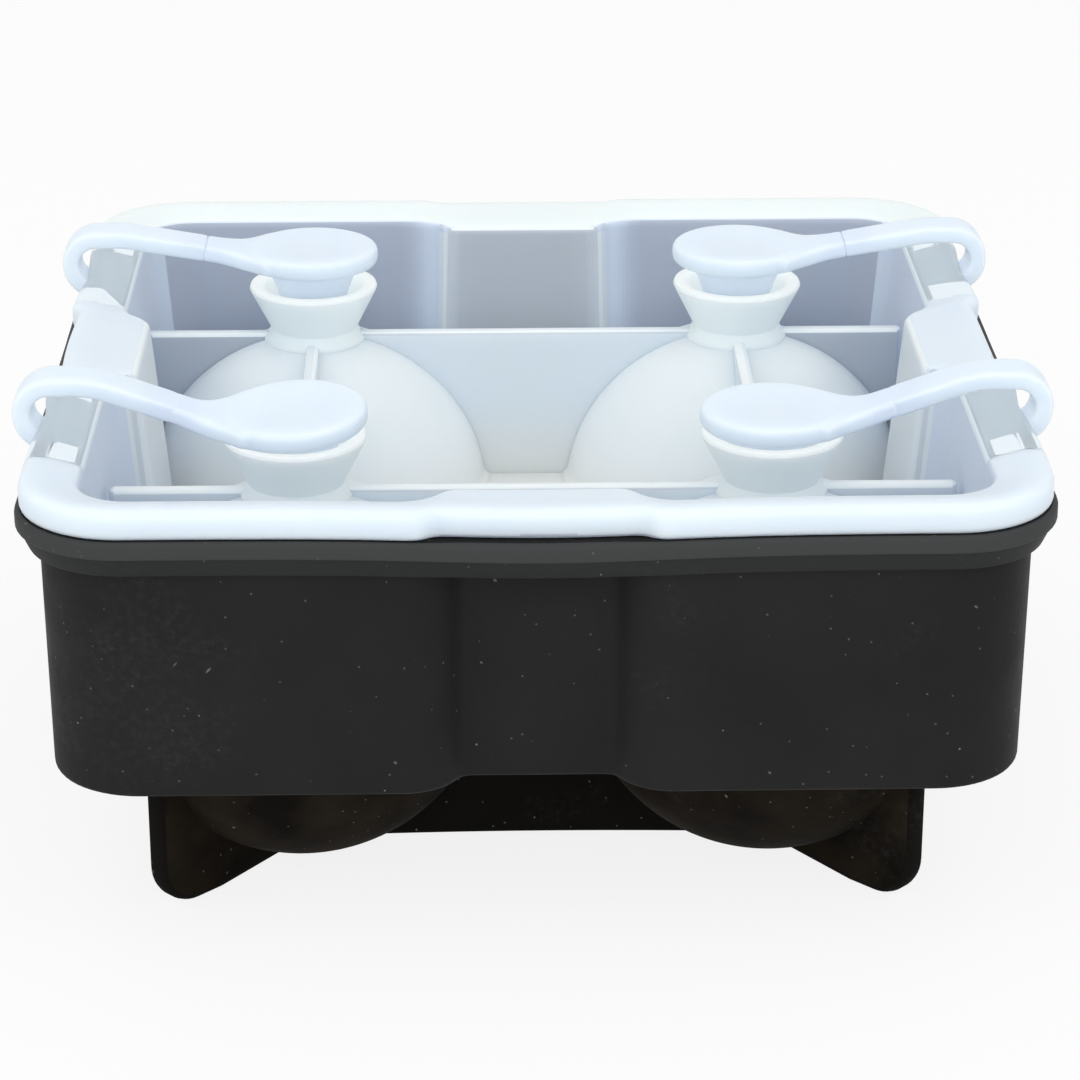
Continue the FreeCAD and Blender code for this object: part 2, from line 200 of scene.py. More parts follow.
def notched_square(level, straight=6, slope=14, floor=10, corner=14):
    """Rings of a rounded square with a notch in each side, for rows of `level`.

    A row is (half, corner radius, notch depth, notch flat, notch end, hollow share, z). Along a
    side the wall stands in by the depth out to the flat, and comes back to the half-width at the
    end by a hollow arc and a bulging arc, which meet at the share of the way with the same
    slope. The corner is a quarter circle.
    """
    half, radius, depth, flat, end, share, z = [column[:, None] for column in level.T]
    stops = [-(half - radius), -end, -flat, flat, end, half - radius]
    counts = [straight, slope, floor, slope, straight]
    t = np.concatenate([a + (b - a) * (np.arange(n) / n)
                        for a, b, n in zip(stops, stops[1:], counts)], axis=1)
    run = end - flat
    x = np.clip(end - np.abs(t), 0, run)
    arc = (run ** 2 + depth ** 2) / (2 * np.maximum(depth, 1e-6))
    bulge, hollow = arc * (1 - share), arc * share
    meet = run * (1 - share)
    first = bulge - np.sqrt(bulge ** 2 - np.minimum(x, meet) ** 2)
    second = hollow - np.sqrt(hollow ** 2 - np.minimum(run - x, run - meet) ** 2)
    notch = np.where(x < meet, first, depth - second)
    side = np.stack([t, -half + notch], -1)
    turn = -math.pi / 2 + math.pi / 2 * np.arange(corner) / corner
    centre = half - radius
    bow = np.stack([centre + radius * np.cos(turn), -centre + radius * np.sin(turn)], -1)
    quarter = np.concatenate([side, bow], axis=1)
    quarters = [quarter]
    for _ in range(3):
        last = quarters[-1]
        quarters.append(np.stack([-last[..., 1], last[..., 0]], -1))
    ring = np.concatenate(quarters, axis=1)
    return np.concatenate([ring, np.broadcast_to(z[..., None], ring.shape[:2] + (1,))], axis=-1)


def soften(corners, steps=5):
    """Rows along a profile whose corners are rounded.

    Each corner row ends with its rounding. The corner is replaced by a quadratic curve that
    leaves one run and joins the next at that distance from the corner.
    """
    corners = np.array(corners, float)
    rows, rounding = corners[:, :-1], corners[:, -1]
    place = rows[:, [0, -1]]
    out = [rows[:1]]
    for k in range(1, len(rows) - 1):
        back, ahead = rows[k - 1] - rows[k], rows[k + 1] - rows[k]
        back_length = np.linalg.norm(place[k - 1] - place[k])
        ahead_length = np.linalg.norm(place[k + 1] - place[k])
        a = rows[k] + back * rounding[k] / back_length
        b = rows[k] + ahead * rounding[k] / ahead_length
        s = np.linspace(0, 1, steps)[:, None]
        out.append((1 - s) ** 2 * a + 2 * s * (1 - s) * rows[k] + s ** 2 * b)
    out.append(rows[-1:])
    return np.concatenate(out)


def round_rings(profile, x, y, around=96):
    """Rings of a surface of revolution: each (r, z) of the profile is a circle about x, y."""
    angle = 2 * math.pi * np.arange(around) / around
    r, z = profile[:, 0][:, None], profile[:, 1][:, None]
    return np.stack([x + r * np.cos(angle), y + r * np.sin(angle), z + 0 * angle], -1)


def ball(name, radius, x, y, high=90.0):
    """Ball centred in the equator plane, from its lower pole up to a latitude in degrees."""
    latitude = np.radians(np.linspace(-90.0, high, 49))
    profile = np.stack([radius * np.cos(latitude), EQUATOR + radius * np.sin(latitude)], -1)
    profile[:, 0] = np.maximum(profile[:, 0], 1e-3)
    return skin(name, round_rings(profile, x, y))


def plate(name, outline, thickness, turn, offset=0.0, bevel=0.5):
    """Flat plate: an outline of (distance, z) points, given thickness and turned about +Z."""
    outline = np.array(outline, float)
    count = len(outline)
    sides = [np.column_stack([outline[:, 0], np.full(count, offset + s * thickness / 2), outline[:, 1]])
             for s in (-1, 1)]
    points = np.concatenate(sides)
    c, s = math.cos(turn), math.sin(turn)
    points = np.column_stack([points[:, 0] * c - points[:, 1] * s,
                              points[:, 0] * s + points[:, 1] * c, points[:, 2]])
    near, far = list(range(count)), list(range(count, 2 * count))
    faces = [near, far[::-1]]
    faces += [[near[i], far[i], far[(i + 1) % count], near[(i + 1) % count]] for i in range(count)]
    mesh = bpy.data.meshes.new(name)
    mesh.from_pydata((points * MM).tolist(), [], faces)
    piece = bpy.data.objects.new(name, mesh)
    bpy.context.scene.collection.objects.link(piece)
    edge = piece.modifiers.new("edge", "BEVEL")
    edge.width = bevel * MM
    edge.segments = 3
    edge.limit_method = "ANGLE"
    return piece


def settle(piece):
    """Apply a piece's modifiers to its mesh."""
    bpy.context.view_layer.update()
    settled = piece.evaluated_get(bpy.context.evaluated_depsgraph_get())
    mesh = bpy.data.meshes.new_from_object(settled)
    piece.modifiers.clear()
    piece.data = mesh


def combine(piece, others, operation):
    """Unite the others with the piece, or cut them out of it, and keep the result."""
    for other in others:
        step = piece.modifiers.new(other.name, "BOOLEAN")
        step.operation = operation
        step.object = other
        step.solver = "MANIFOLD"
    settle(piece)
    for other in others:
        bpy.data.objects.remove(other)
    return piece


def mesh_points(piece):
    """Vertex places of a piece in millimetres, as an array."""
    points = np.empty(len(piece.data.vertices) * 3)
    piece.data.vertices.foreach_get("co", points)
    return points.reshape(-1, 3) / MM


def move_points(piece, points):
    """Put a piece's vertices at new places, in millimetres."""
    piece.data.vertices.foreach_set("co", (points * MM).ravel())
    piece.data.update()


def sag_bell(x):
    """Share of the front's sag at x: a bell curve."""
    return np.exp(-((x - SAG_MIDDLE) / SAG_SPREAD) ** 2)


def sag(piece):
    """Let the flange and rim hang a little in the middle of the front, as soft silicone does.

    The drop is a bell curve across X, faded in towards the front and above the skirt by
    smooth steps.
    """
    points = mesh_points(piece)
    x, y, z = points.T
    forward = np.clip((-SAG_FRONT - y) / SAG_FADE, 0, 1)
    high = np.clip((z - SAG_FOOT) / SAG_FADE, 0, 1)
    points[:, 2] -= SAG * sag_bell(x) * forward ** 2 * (3 - 2 * forward) * high ** 2 * (3 - 2 * high)
    move_points(piece, points)


def draw_in(piece):
    """Pull the rim's edge in a little by each strap, and let its left side bulge between them.

    Both are bell curves along Y, faded in evenly over the rim's outer part and above the flange.
    """
    points = mesh_points(piece)
    x, y, z = points.T
    outer = np.clip((np.abs(x) - RIM_EDGE_START) / RIM_EDGE_FADE, 0, 1)
    upper = np.clip((z - FLANGE_TOP + 1.5) / 1.5, 0, 1)
    straps = np.exp(-((np.abs(y) - GRID + 2.0) / SETBACK_SPREAD) ** 2)
    left = np.where(x < 0, np.exp(-(y / BULGE_SPREAD) ** 2), 0)
    points[:, 0] -= np.sign(x) * (outer * upper) * (RECESS_SETBACK * straps - LEFT_BULGE * left)
    move_points(piece, points)


def faces_of(piece):
    """Face centres in millimetres and face normals, as arrays."""
    count = len(piece.data.polygons)
    centres, normals = np.empty(count * 3), np.empty(count * 3)
    piece.data.polygons.foreach_get("center", centres)
    piece.data.polygons.foreach_get("normal", normals)
    return centres.reshape(-1, 3) / MM, normals.reshape(-1, 3)


def outside(x, y, half, corner):
    """Signed distance in plan from a square with rounded corners, positive outside it."""
    over_x, over_y = np.abs(x) - half + corner, np.abs(y) - half + corner
    beyond = np.hypot(np.maximum(over_x, 0), np.maximum(over_y, 0))
    return beyond + np.minimum(np.maximum(over_x, over_y), 0) - corner


def mark(piece, name, values, domain="FACE"):
    """Keep one number per face, or per point, as an attribute for the finish."""
    layer = piece.data.attributes.new(name, "FLOAT", domain)
    layer.data.foreach_set("value", values.astype(np.float32))


def mark_joins(piece):
    """Mark how near each point of a stopper or strap is to their join or to the strap's root.

    The mark is full up to half of each reach, 4.5 mm and 5 mm, and fades out at its end.
    """
    x, _, z = mesh_points(piece).T
    tail = 1 - np.abs(np.abs(x) - GRID - TAIL_REACH) / 4.5
    root = 1 - np.hypot(np.abs(x) - RIM_HALF + 2.0, z - FLANGE_TOP) / 5.0
    mark(piece, "join", np.clip(2 * np.maximum(tail, root), 0, 1), "POINT")


def smooth(piece, crease=40.0):
    """Smooth shading, with edges kept sharp above the crease angle."""
    piece.data.shade_smooth()
    piece.data.set_sharp_from_angle(angle=math.radians(crease))
    return piece


# Lower tray

def middle_row(z):
    """Row of a square 2 mm wide, where a surface closes in the middle."""
    return (1.0, 0.5, 0.0, 0.1, 0.2, 0.5, z)


def nested(half, radius, depth, z):
    """Row of a wall that follows the skirt's notch further in, where the notch is wider."""
    slope = math.atan2(NOTCH_DEPTH, NOTCH_END - NOTCH_FLAT)
    spread = (SKIRT_HALF - half) * math.tan(slope / 2)
    return (half, radius, depth, NOTCH_FLAT + spread, NOTCH_END + spread, HOLLOW_SHARE, z)


def skirt_row(inset, z):
    """Row of the tapered skirt, as far inside its outer face as the inset."""
    taper = SKIRT_TAPER * (FLANGE_TOP - z) / (FLANGE_TOP - SKIRT_BOTTOM)
    return nested(SKIRT_HALF - taper - inset, SKIRT_CORNER - inset, NOTCH_DEPTH, z)


def square_row(half, radius, z):
    """Row of a plain rounded square, whose notch has no depth."""
    return (half, radius, 0.0, NOTCH_FLAT, NOTCH_END, HOLLOW_SHARE, z)


def tray_shell():
    """Floor, skirt, bead and flange in one profile, from the middle below to the middle above."""
    lip_z = FLANGE_TOP - LIP_HEIGHT
    bead_z = lip_z - BEAD_HEIGHT
    bead_half = FLANGE_HALF - BEAD_SET_IN
    bead_corner = FLANGE_CORNER - BEAD_SET_IN
    corners = [
        (*middle_row(FLOOR_UNDER), 0.0),
        (*skirt_row(WALL, FLOOR_UNDER), 1.0),
        (*skirt_row(WALL, SKIRT_BOTTOM), 0.6),
        (*skirt_row(0, SKIRT_BOTTOM), 0.9),
        (*skirt_row(0, bead_z), 0.7),
        (*square_row(bead_half - BEAD_TAPER, bead_corner - BEAD_TAPER, bead_z), 0.4),
        (*square_row(bead_half, bead_corner, lip_z), 0.15),
        (*square_row(FLANGE_HALF, FLANGE_CORNER, lip_z), 0.35),
        (*square_row(FLANGE_HALF, FLANGE_CORNER, FLANGE_TOP), 0.6),
        (*skirt_row(WALL, FLANGE_TOP), 0.5),
        (*skirt_row(WALL, EQUATOR), 1.0),
        (*middle_row(EQUATOR), 0.0),
    ]
    return skin("tray_shell", notched_square(soften(corners)))


def webs_and_feet():
    """Webs between neighbouring cups, and a diagonal foot under each cup."""
    x = np.linspace(-WEB_HALF, WEB_HALF, 25)
    arch = WEB_LOW + WEB_ARCH * (1 - (x / WEB_HALF) ** 2)
    outline = [(-30, 4), *zip(x, arch), (30, 4), (30, FLOOR_UNDER + 1), (-30, FLOOR_UNDER + 1)]
    pieces = [plate(f"web_{k}", outline, WEB_THICKNESS, k * math.pi / 2, offset=GRID) for k in range(4)]
    pole = GRID * math.sqrt(2)
    heel = FOOT_TIP - FOOT_TIP_RADIUS
    turn = np.radians(np.linspace(-90, 0, 13))
    tip = [(heel + FOOT_TIP_RADIUS * math.cos(a), FOOT_TIP_RADIUS * (1 + math.sin(a))) for a in turn]
    outline = [(pole - 4, 4), (pole + 2, WEB_LOW), (heel - FOOT_LAND, 0), *tip,
               (FOOT_TIP, FLOOR_UNDER + 1), (pole - 4, FLOOR_UNDER + 1)]
    pieces += [plate(f"foot_{k}", outline, FOOT_THICKNESS, math.pi / 4 + k * math.pi / 2, bevel=0.8)
               for k in range(4)]
    return pieces


def mark_tray(tray):
    """Mark the cups' outsides, the flange's lip with a fainter bead for a painted highlight, and what
    lies in shadow for painted shade.
    """
    centres, _ = faces_of(tray)
    x, y, z = centres.T
    out = np.sqrt((np.abs(x) - GRID) ** 2 + (np.abs(y) - GRID) ** 2 + (z - EQUATOR) ** 2)
    cup = (out > CUP_RADIUS - 0.3) & (out < CUP_RADIUS + 0.3) & (z < EQUATOR)
    mark(tray, "cup", cup.astype(float))
    # Painted highlight: the flange's lip, and fainter its bead, where the top light falls.
    past_edge = outside(x, y, FLANGE_HALF, FLANGE_CORNER)
    above = z - FLANGE_TOP + LIP_HEIGHT + SAG * sag_bell(x) * (y < -55)
    bead = (above > -BEAD_HEIGHT) & (past_edge > -2.4)
    mark(tray, "lip", np.where((past_edge > -2.0) & (above > -0.1), 1.0, 0.3 * bead))
    # Painted shade: faces below the skirt and inside it.
    hidden = outside(x, y, SKIRT_HALF - NOTCH_DEPTH - 1.5, SKIRT_CORNER - NOTCH_DEPTH) < 0
    mark(tray, "under", ((z < SKIRT_BOTTOM - 0.1) | hidden).astype(float))


def lower_tray():
    """Shell, cups, webs and feet united, with the four balls cut out."""
    cups = [ball(f"cup_{x}_{y}", CUP_RADIUS, x * GRID, y * GRID, high=-2.5) for x, y in PLACES]
    tray = combine(tray_shell(), cups + webs_and_feet(), "UNION")
    balls = [ball(f"ball_{x}_{y}", BALL_RADIUS, x * GRID, y * GRID) for x, y in PLACES]
    tray = combine(tray, balls, "DIFFERENCE")
    tray.name = "tray_moulding"
    sag(tray)
    mark_tray(tray)
    return smooth(tray)


# Upper lid

def wall_row(inset, depth, z):
    """Row of the lid's drafted wall, as far inside its outer face as the inset."""
    rise = (z - EQUATOR) / (FLANGE_TOP - EQUATOR)
    return nested(WALL_BOTTOM_HALF + WALL_DRAFT * rise - inset, WELL_CORNER + WALL - inset, depth, z)


def rim_row(inset, z):
    """Row of the lid's rim, with its shallow notch."""
    corner = FLANGE_CORNER - FLANGE_HALF + RIM_HALF
    return (RIM_HALF - inset, corner - inset, RIM_NOTCH_DEPTH, RIM_NOTCH_FLAT, RIM_NOTCH_END, 0.5, z)


def lid_shell():
    """Deck, drafted wall and dished rim in one profile, from the middle below to the middle above."""
    edge_z = RIM_TOP - RIM_DISH
    corners = [
        (*middle_row(EQUATOR), 0.0),
        (*wall_row(0, NOTCH_DEPTH, EQUATOR), 0.6),
        (*wall_row(0, NOTCH_DEPTH, FLANGE_TOP), 0.4),
        (*rim_row(0, FLANGE_TOP), 0.9),
        (*rim_row(0, RIM_TOP), 1.5),
        (*rim_row(RIM_LAND, RIM_TOP - 0.1), 0.9),
        (*wall_row(WALL, WELL_NOTCH_DEPTH, edge_z), 1.0),
        (*wall_row(WALL, WELL_NOTCH_DEPTH, DECK_TOP), 2.0),
        (*middle_row(DECK_TOP), 0.0),
    ]
    return skin("lid_shell", notched_square(soften(corners, steps=7)))


def dome(x, y):
    """Half dome with a small fillet where it meets the deck."""
    latitude = np.radians(np.linspace(10, 90, 40))
    arc = np.stack([DOME_RADIUS * np.cos(latitude), EQUATOR + DOME_RADIUS * np.sin(latitude)], -1)
    foot = np.array([[DOME_RADIUS + 1.2, DECK_TOP - 0.3], [DOME_RADIUS + 0.5, DECK_TOP + 0.15],
                     [DOME_RADIUS - 0.15, DECK_TOP + 0.8]])
    profile = np.concatenate([foot, arc])
    profile[:, 0] = np.maximum(profile[:, 0], 1e-3)
    return skin(f"dome_{x}_{y}", round_rings(profile, x * GRID, y * GRID))


def funnel(x, y):
    """Funnel, still solid: a flared foot on the dome, a neck, a cone and a rounded lip."""
    profile = np.array([
        (7.2, DOME_TOP - 2.2), (7.1, DOME_TOP - 0.7), (6.6, DOME_TOP - 0.1), (NECK_RADIUS, NECK),
        (7.4, NECK + 2.6), (8.75, FUNNEL_TOP - 1.1), (LIP_RADIUS, FUNNEL_TOP - 0.5),
        (8.85, FUNNEL_TOP - 0.12), (8.55, FUNNEL_TOP), (8.2, FUNNEL_TOP)])
    return skin(f"funnel_{x}_{y}", round_rings(profile, x * GRID, y * GRID, 64))


def bore(x, y):
    """Throat and mouth, with the lip's inner edge rounded over."""
    profile = np.array([
        (THROAT_RADIUS, EQUATOR + 12), (THROAT_RADIUS, NECK), (MOUTH_RADIUS - 0.35, FUNNEL_TOP - 0.7),
        (MOUTH_RADIUS - 0.05, FUNNEL_TOP - 0.25), (MOUTH_RADIUS + 0.4, FUNNEL_TOP),
        (MOUTH_RADIUS + 0.4, FUNNEL_TOP + 2)])
    return skin(f"bore_{x}_{y}", round_rings(profile, x * GRID, y * GRID, 64))


def lid_ribs():
    """Upright ribs from wall to wall through the domes' middles, both ways."""
    reach = WALL_BOTTOM_HALF - WALL / 2
    outline = [(-reach, EQUATOR + 1), (reach, EQUATOR + 1), (reach, DOME_TOP), (-reach, DOME_TOP)]
    return [plate(f"rib_{k}", outline, RIB_THICKNESS, k * math.pi / 2, offset=GRID, bevel=0.6)
            for k in range(4)]


def recess(side_x, side_y):
    """Block that clears the rim round a strap's root, down to the recess's floor.

    Its plan is straight along X and flares by a quarter circle towards the well, so that the
    raised rim beside it ends in a rounded corner. Each row is (how much wider, z).
    """
    a = np.radians(np.linspace(0, 90, 10))
    turn = np.stack([RECESS_INNER + RECESS_FLARE * (1 - np.sin(a)),
                     RECESS_REACH + RECESS_FLARE * (1 - np.cos(a))], -1)
    half = np.concatenate([[[RIM_HALF + 8, RECESS_REACH]], turn,
                           [[RECESS_INNER - 2.5, RECESS_REACH + RECESS_FLARE]]])
    ring = np.concatenate([half, half[::-1] * (1, -1)])[::-1]
    rings = []
    for wider, z in ((-0.5, RECESS_FLOOR), (-0.15, RECESS_FLOOR + 0.15), (0.0, RECESS_FLOOR + 0.5),
                     (0.0, RIM_TOP - 0.9), (0.2, RIM_TOP - 0.35), (0.8, RIM_TOP + 0.1),
                     (0.8, RIM_TOP + 2)):
        y = ring[:, 1] + np.sign(ring[:, 1]) * wider
        rings.append(np.column_stack([side_x * ring[:, 0], y + side_y * GRID, np.full(len(ring), z)]))
    rings = np.array(rings)
    return skin(f"recess_{side_x}_{side_y}", rings if side_x > 0 else rings[:, ::-1])


def painted_shade(piece):
    """Mark painted shade and painted light on each face of the lid.

    Painted shade darkens a face for the dark tray seen through it and for shade. Funnels, domes
    and rim get next to none, and thin upright parts most: ribs high up, and walls, which are
    painted lighter where their notch turns away, and on the sides than at the front and back.
    The inner parts, the back of the rim and its stretches round the straps' roots are painted
    paler, and the rest of the rim is painted darker and bluer.
    """
    centres, normals = faces_of(piece)
    x, y, z = centres.T
    side = np.maximum(np.abs(x), np.abs(y))
    along = np.minimum(np.abs(x), np.abs(y))
    plan = np.hypot(np.abs(x) - GRID, np.abs(y) - GRID)
    out = np.hypot(plan, z - EQUATOR)
    dark = np.zeros(len(z))
    inward = -(x * normals[:, 0] + y * normals[:, 1]) / np.hypot(x, y)
    upright = np.abs(normals[:, 2]) < 0.6
    wall = (side > 44) & (z < RIM_TOP - RIM_DISH + 0.1) & upright & (inward > 0.2)
    # Painted light: walls are painted lighter where their notch turns away, and side walls lighter than
    # front and back walls.
    slope = np.exp(-((along - NOTCH_SLOPE_PLACE) / NOTCH_SLOPE_SPREAD) ** 2)
    across = np.abs(normals[:, 1]) > np.abs(normals[:, 0])
    dark[wall] = np.where(across, WALL_VEIL - NOTCH_SLOPE_RELIEF * slope, SIDE_WALL_VEIL)[wall]
    dark[(side > 44) & (z < FLANGE_TOP) & upright & (inward < 0)] = OUTER_WALL_VEIL
    dark[(normals[:, 2] > 0.8) & (z < DECK_TOP + 1.0)] = DECK_VEIL
    rib = (z < DOME_TOP + 0.1) & (np.abs(normals[:, 2]) < 0.3) & (out > DOME_RADIUS + 0.2) & (side < 50)
    dark[rib] = (RIB_VEIL * np.clip((z - 35.0) / 10.0, 0, 1) * (side < GRID + 3))[rib]
    # Painted shade on the ribs' tops at the back.
    top = (np.abs(z - DOME_TOP) < 0.3) & (normals[:, 2] > 0.8) & (plan > 9.4) & (side < 53)
    dark[top] = RIB_TOP_VEIL * (y[top] > 0)
    dark[np.abs(out - DOME_RADIUS) < 0.3] = DOME_VEIL
    dark[out < BALL_RADIUS + 0.2] = BALL_VEIL
    beside_strap = np.abs(np.abs(y) - GRID) < RECESS_REACH + 1.0
    near_root = beside_strap & (np.abs(x) > 52) & (z > FLANGE_TOP - 1.0)
    dark[near_root] = 0.0
    mark(piece, "painted_shade", dark)
    # Painted light: these parts are painted paler; the rest of the rim, the caps and the straps are
    # painted darker and bluer.
    back = (y > 50) & (z > RIM_TOP - RIM_DISH)
    mark(piece, "painted_light", (near_root | back | ((side < 52) & (z < RIM_TOP - 1.0))).astype(float))
    mark(piece, "join", near_root.astype(float))


def flatten_recess_floors(lid):
    """Shade the floors of the recesses flat, since their long faces would carry a false slope."""
    centres, normals = faces_of(lid)
    floors = (np.abs(centres[:, 2] - RECESS_FLOOR) < 0.1) & (normals[:, 2] > 0.98)
    lid.data.polygons.foreach_set("use_smooth", ~floors)


def upper_lid():
    """Shell, domes, ribs and funnels united, with the balls, bores and recesses cut out."""
    solids = [dome(x, y) for x, y in PLACES] + lid_ribs() + [funnel(x, y) for x, y in PLACES]
    lid = combine(lid_shell(), solids, "UNION")
    cuts = [ball(f"ball_{x}_{y}", BALL_RADIUS, x * GRID, y * GRID) for x, y in PLACES]
    cuts += [bore(x, y) for x, y in PLACES]
    cuts += [recess(x, y) for x, y in PLACES]
    lid = combine(lid, cuts, "DIFFERENCE")
    lid.name = "lid_moulding"
    sag(lid)
    draw_in(lid)
    painted_shade(lid)
    smooth(lid)
    flatten_recess_floors(lid)
    return lid


# Stoppers and straps

def stopper(side_x, side_y):
    """Turned shape of a stopper: tapered plug, rounded disc and shallow dish, with its strap's tail.

    Disc and tail are joined, meshed again with even faces and relaxed, so that they flow together.
    The front left one sits askew, and its slope fades out along the tail.
    """
    under = FRONT_SEAT if side_y < 0 else BACK_SEAT
    over = under + DISC_THICKNESS
    corners = [
        (0.01, under - PLUG_LENGTH, 0.0),
        (PLUG_TIP, under - PLUG_LENGTH, 0.6),
        (PLUG_TOP, under, 0.6),
        (DISC_RADIUS, under + 0.1, 0.9),
        (DISC_RADIUS, over, 1.0),
        (DISC_RADIUS - DISH_EDGE, over, 0.8),
        (DISH_RADIUS, over - DISC_DISH, 1.0),
        (0.01, over - DISC_DISH, 0.0),
    ]
    rings = round_rings(soften(corners), side_x * GRID, side_y * GRID)
    cap = skin(f"cap_{ROW[side_y]}_{COLUMN[side_x]}", rings)
    tail = strap_rings(side_x, side_y)
    inside = np.abs(tail[..., 0].mean(axis=1)) < GRID + TAIL_REACH + TAIL_OVERLAP
    combine(cap, [skin("tail", tail[inside])], "UNION")
    even = cap.modifiers.new("even", "REMESH")
    even.mode = "VOXEL"
    even.voxel_size = 0.28 * MM
    relax = cap.modifiers.new("relax", "SMOOTH")
    relax.factor = 0.5
    relax.iterations = 9
    settle(cap)
    if (side_x, side_y) == (-1, -1):
        points = mesh_points(cap)
        away = points + (GRID, GRID, 0)
        fade = np.clip((away[:, 0] + TAIL_REACH) / 5.0, 0, 1)
        points[:, 2] += TILT * (0.6 * away[:, 0] + 0.8 * away[:, 1] + DISC_RADIUS / 2) * fade
        move_points(cap, points)
    mark_joins(cap)
    return smooth(cap, 80)


def strap_line(seat_z):
    """Middle line of a right-hand strap as rows (x, z, heading), from the rim to its disc.

    It leaves the rim level, turns half round in the curl, runs level, and comes down to the
    disc's middle by two equal arcs with a straight run between them.
    """
    reach = BEND_X - STRAP_LEVEL - GRID - STRAP_JOIN
    drop = BEND_Z + BEND_RADIUS - seat_z - DISC_THICKNESS / 2
    across = 2 * CURVE_RADIUS
    run = math.sqrt(reach ** 2 + (across - drop) ** 2 - across ** 2)
    slope = math.atan2(across * reach - run * (across - drop), run * reach + across * (across - drop))
    steps = [("run", STRAP_ROOT, 0), ("turn", BEND_RADIUS, math.pi), ("run", STRAP_LEVEL, 0),
             ("turn", CURVE_RADIUS, slope), ("run", run, 0), ("turn", CURVE_RADIUS, -slope),
             ("run", STRAP_JOIN - DISC_RADIUS / 2, 0)]
    x, z, heading = BEND_X - STRAP_ROOT, BEND_Z - BEND_RADIUS, 0.0
    rows = [np.array([[x, z, heading]])]
    for kind, size, bend in steps:
        if kind == "run":
            along = np.linspace(0, size, 17)[1:]
            part = np.column_stack([x + along * math.cos(heading), z + along * math.sin(heading),
                                    np.full(16, heading)])
        else:
            a = heading + np.linspace(0, bend, 25)[1:]
            radius = math.copysign(size, bend)
            part = np.column_stack([x + radius * (np.sin(a) - math.sin(heading)),
                                    z - radius * (np.cos(a) - math.cos(heading)), a])
        rows.append(part)
        x, z, heading = part[-1]
    return np.concatenate(rows)


def strap_rings(side_x, side_y):
    """Rings of a strap: a rounded rectangle carried along the middle line, flaring into the disc.

    The section is a superellipse of power 6 with the strap's width and thickness.
    """
    line = strap_line(FRONT_SEAT if side_y < 0 else BACK_SEAT)
    x, z, heading = [column[:, None] for column in line.T]
    away = np.abs(x - GRID)
    flare = np.clip((FLARE_REACH - away) / FLARE_LENGTH, 0, 1) ** 2 * FLARE_WIDTH
    flare = np.where(heading > math.pi / 2, flare, 0)
    angle = 2 * math.pi * (np.arange(36) + 0.5) / 36
    c, s = np.cos(angle), np.sin(angle)
    across = np.sign(c) * np.abs(c) ** (1 / 3)
    up = np.sign(s) * np.abs(s) ** (1 / 3)
    y = (STRAP_WIDTH / 2 + flare) * across
    lift = STRAP_THICKNESS / 2 * up
    rings = np.stack([x - lift * np.sin(heading), y + 0 * x, z + lift * np.cos(heading)], -1)
    rings[..., 0] *= side_x
    rings[..., 1] += side_y * GRID
    return rings[:, ::-1] if side_x > 0 else rings


def strap(side_x, side_y):
    """Free strap, from its root in the rim to just inside the stopper's tail, where it narrows."""
    rings = strap_rings(side_x, side_y)
    middle = rings.mean(axis=1, keepdims=True)
    past = np.abs(middle[..., :1]) - GRID - TAIL_REACH + TAIL_OVERLAP
    narrowing = TAIL_NARROWING * np.clip(1 - past / TAIL_NARROWING_LENGTH, 0, 1) ** 2
    rings = middle + (rings - middle) * (1 - narrowing)
    band = skin(f"band_{ROW[side_y]}_{COLUMN[side_x]}", rings[past.ravel() > 0])
    mark_joins(band)
    return smooth(band, 70)


# Finishes

def new_material(name):
    """A material with its node tree and its shader."""
    material = bpy.data.materials.new(name)
    material.use_nodes = True
    tree = material.node_tree
    return material, tree, tree.nodes["Principled BSDF"]


def node(tree, kind, **settings):
    """A new node of that kind with its settings."""
    made = tree.nodes.new(kind)
    for key, value in settings.items():
        setattr(made, key, value)
    return made


def ramp(tree, source, stops):
    """Colour ramp on a factor: stops are (place, grey or colour)."""
    made = node(tree, "ShaderNodeValToRGB")
    elements = made.color_ramp.elements
    while len(elements) < len(stops):
        elements.new(0.5)
    for element, (place, colour) in zip(elements, stops):
        element.position = place
        element.color = (*colour, 1) if isinstance(colour, tuple) else (colour, colour, colour, 1)
    tree.links.new(source, made.inputs[0])
    return made.outputs[0]


def noise(tree, coords, scale, detail=3.0, roughness=0.5):
    """Cloudy noise from 0 to 1. Its scale is in waves per metre."""
    made = node(tree, "ShaderNodeTexNoise")
    made.inputs["Scale"].default_value = scale
    made.inputs["Detail"].default_value = detail
    made.inputs["Roughness"].default_value = roughness
    tree.links.new(coords, made.inputs["Vector"])
    return made.outputs["Fac"]


def product(tree, first, second):
    """Product of two factors, each a socket or a plain value."""
    made = node(tree, "ShaderNodeMath", operation="MULTIPLY")
    for socket, value in zip(made.inputs, (first, second)):
        if isinstance(value, bpy.types.NodeSocket):
            tree.links.new(value, socket)
        else:
            socket.default_value = value
    return made.outputs[0]


def attribute(tree, name):
    """Value of a mark, as mark() has kept it."""
    return node(tree, "ShaderNodeAttribute", attribute_name=name).outputs["Fac"]


def mapped(tree, value, start, end, low, high):
    """A value carried from one range to another, held at its ends."""
    made = node(tree, "ShaderNodeMapRange")
    for name, number in (("From Min", start), ("From Max", end), ("To Min", low), ("To Max", high)):
        made.inputs[name].default_value = number
    tree.links.new(value, made.inputs["Value"])
    return made.outputs[0]


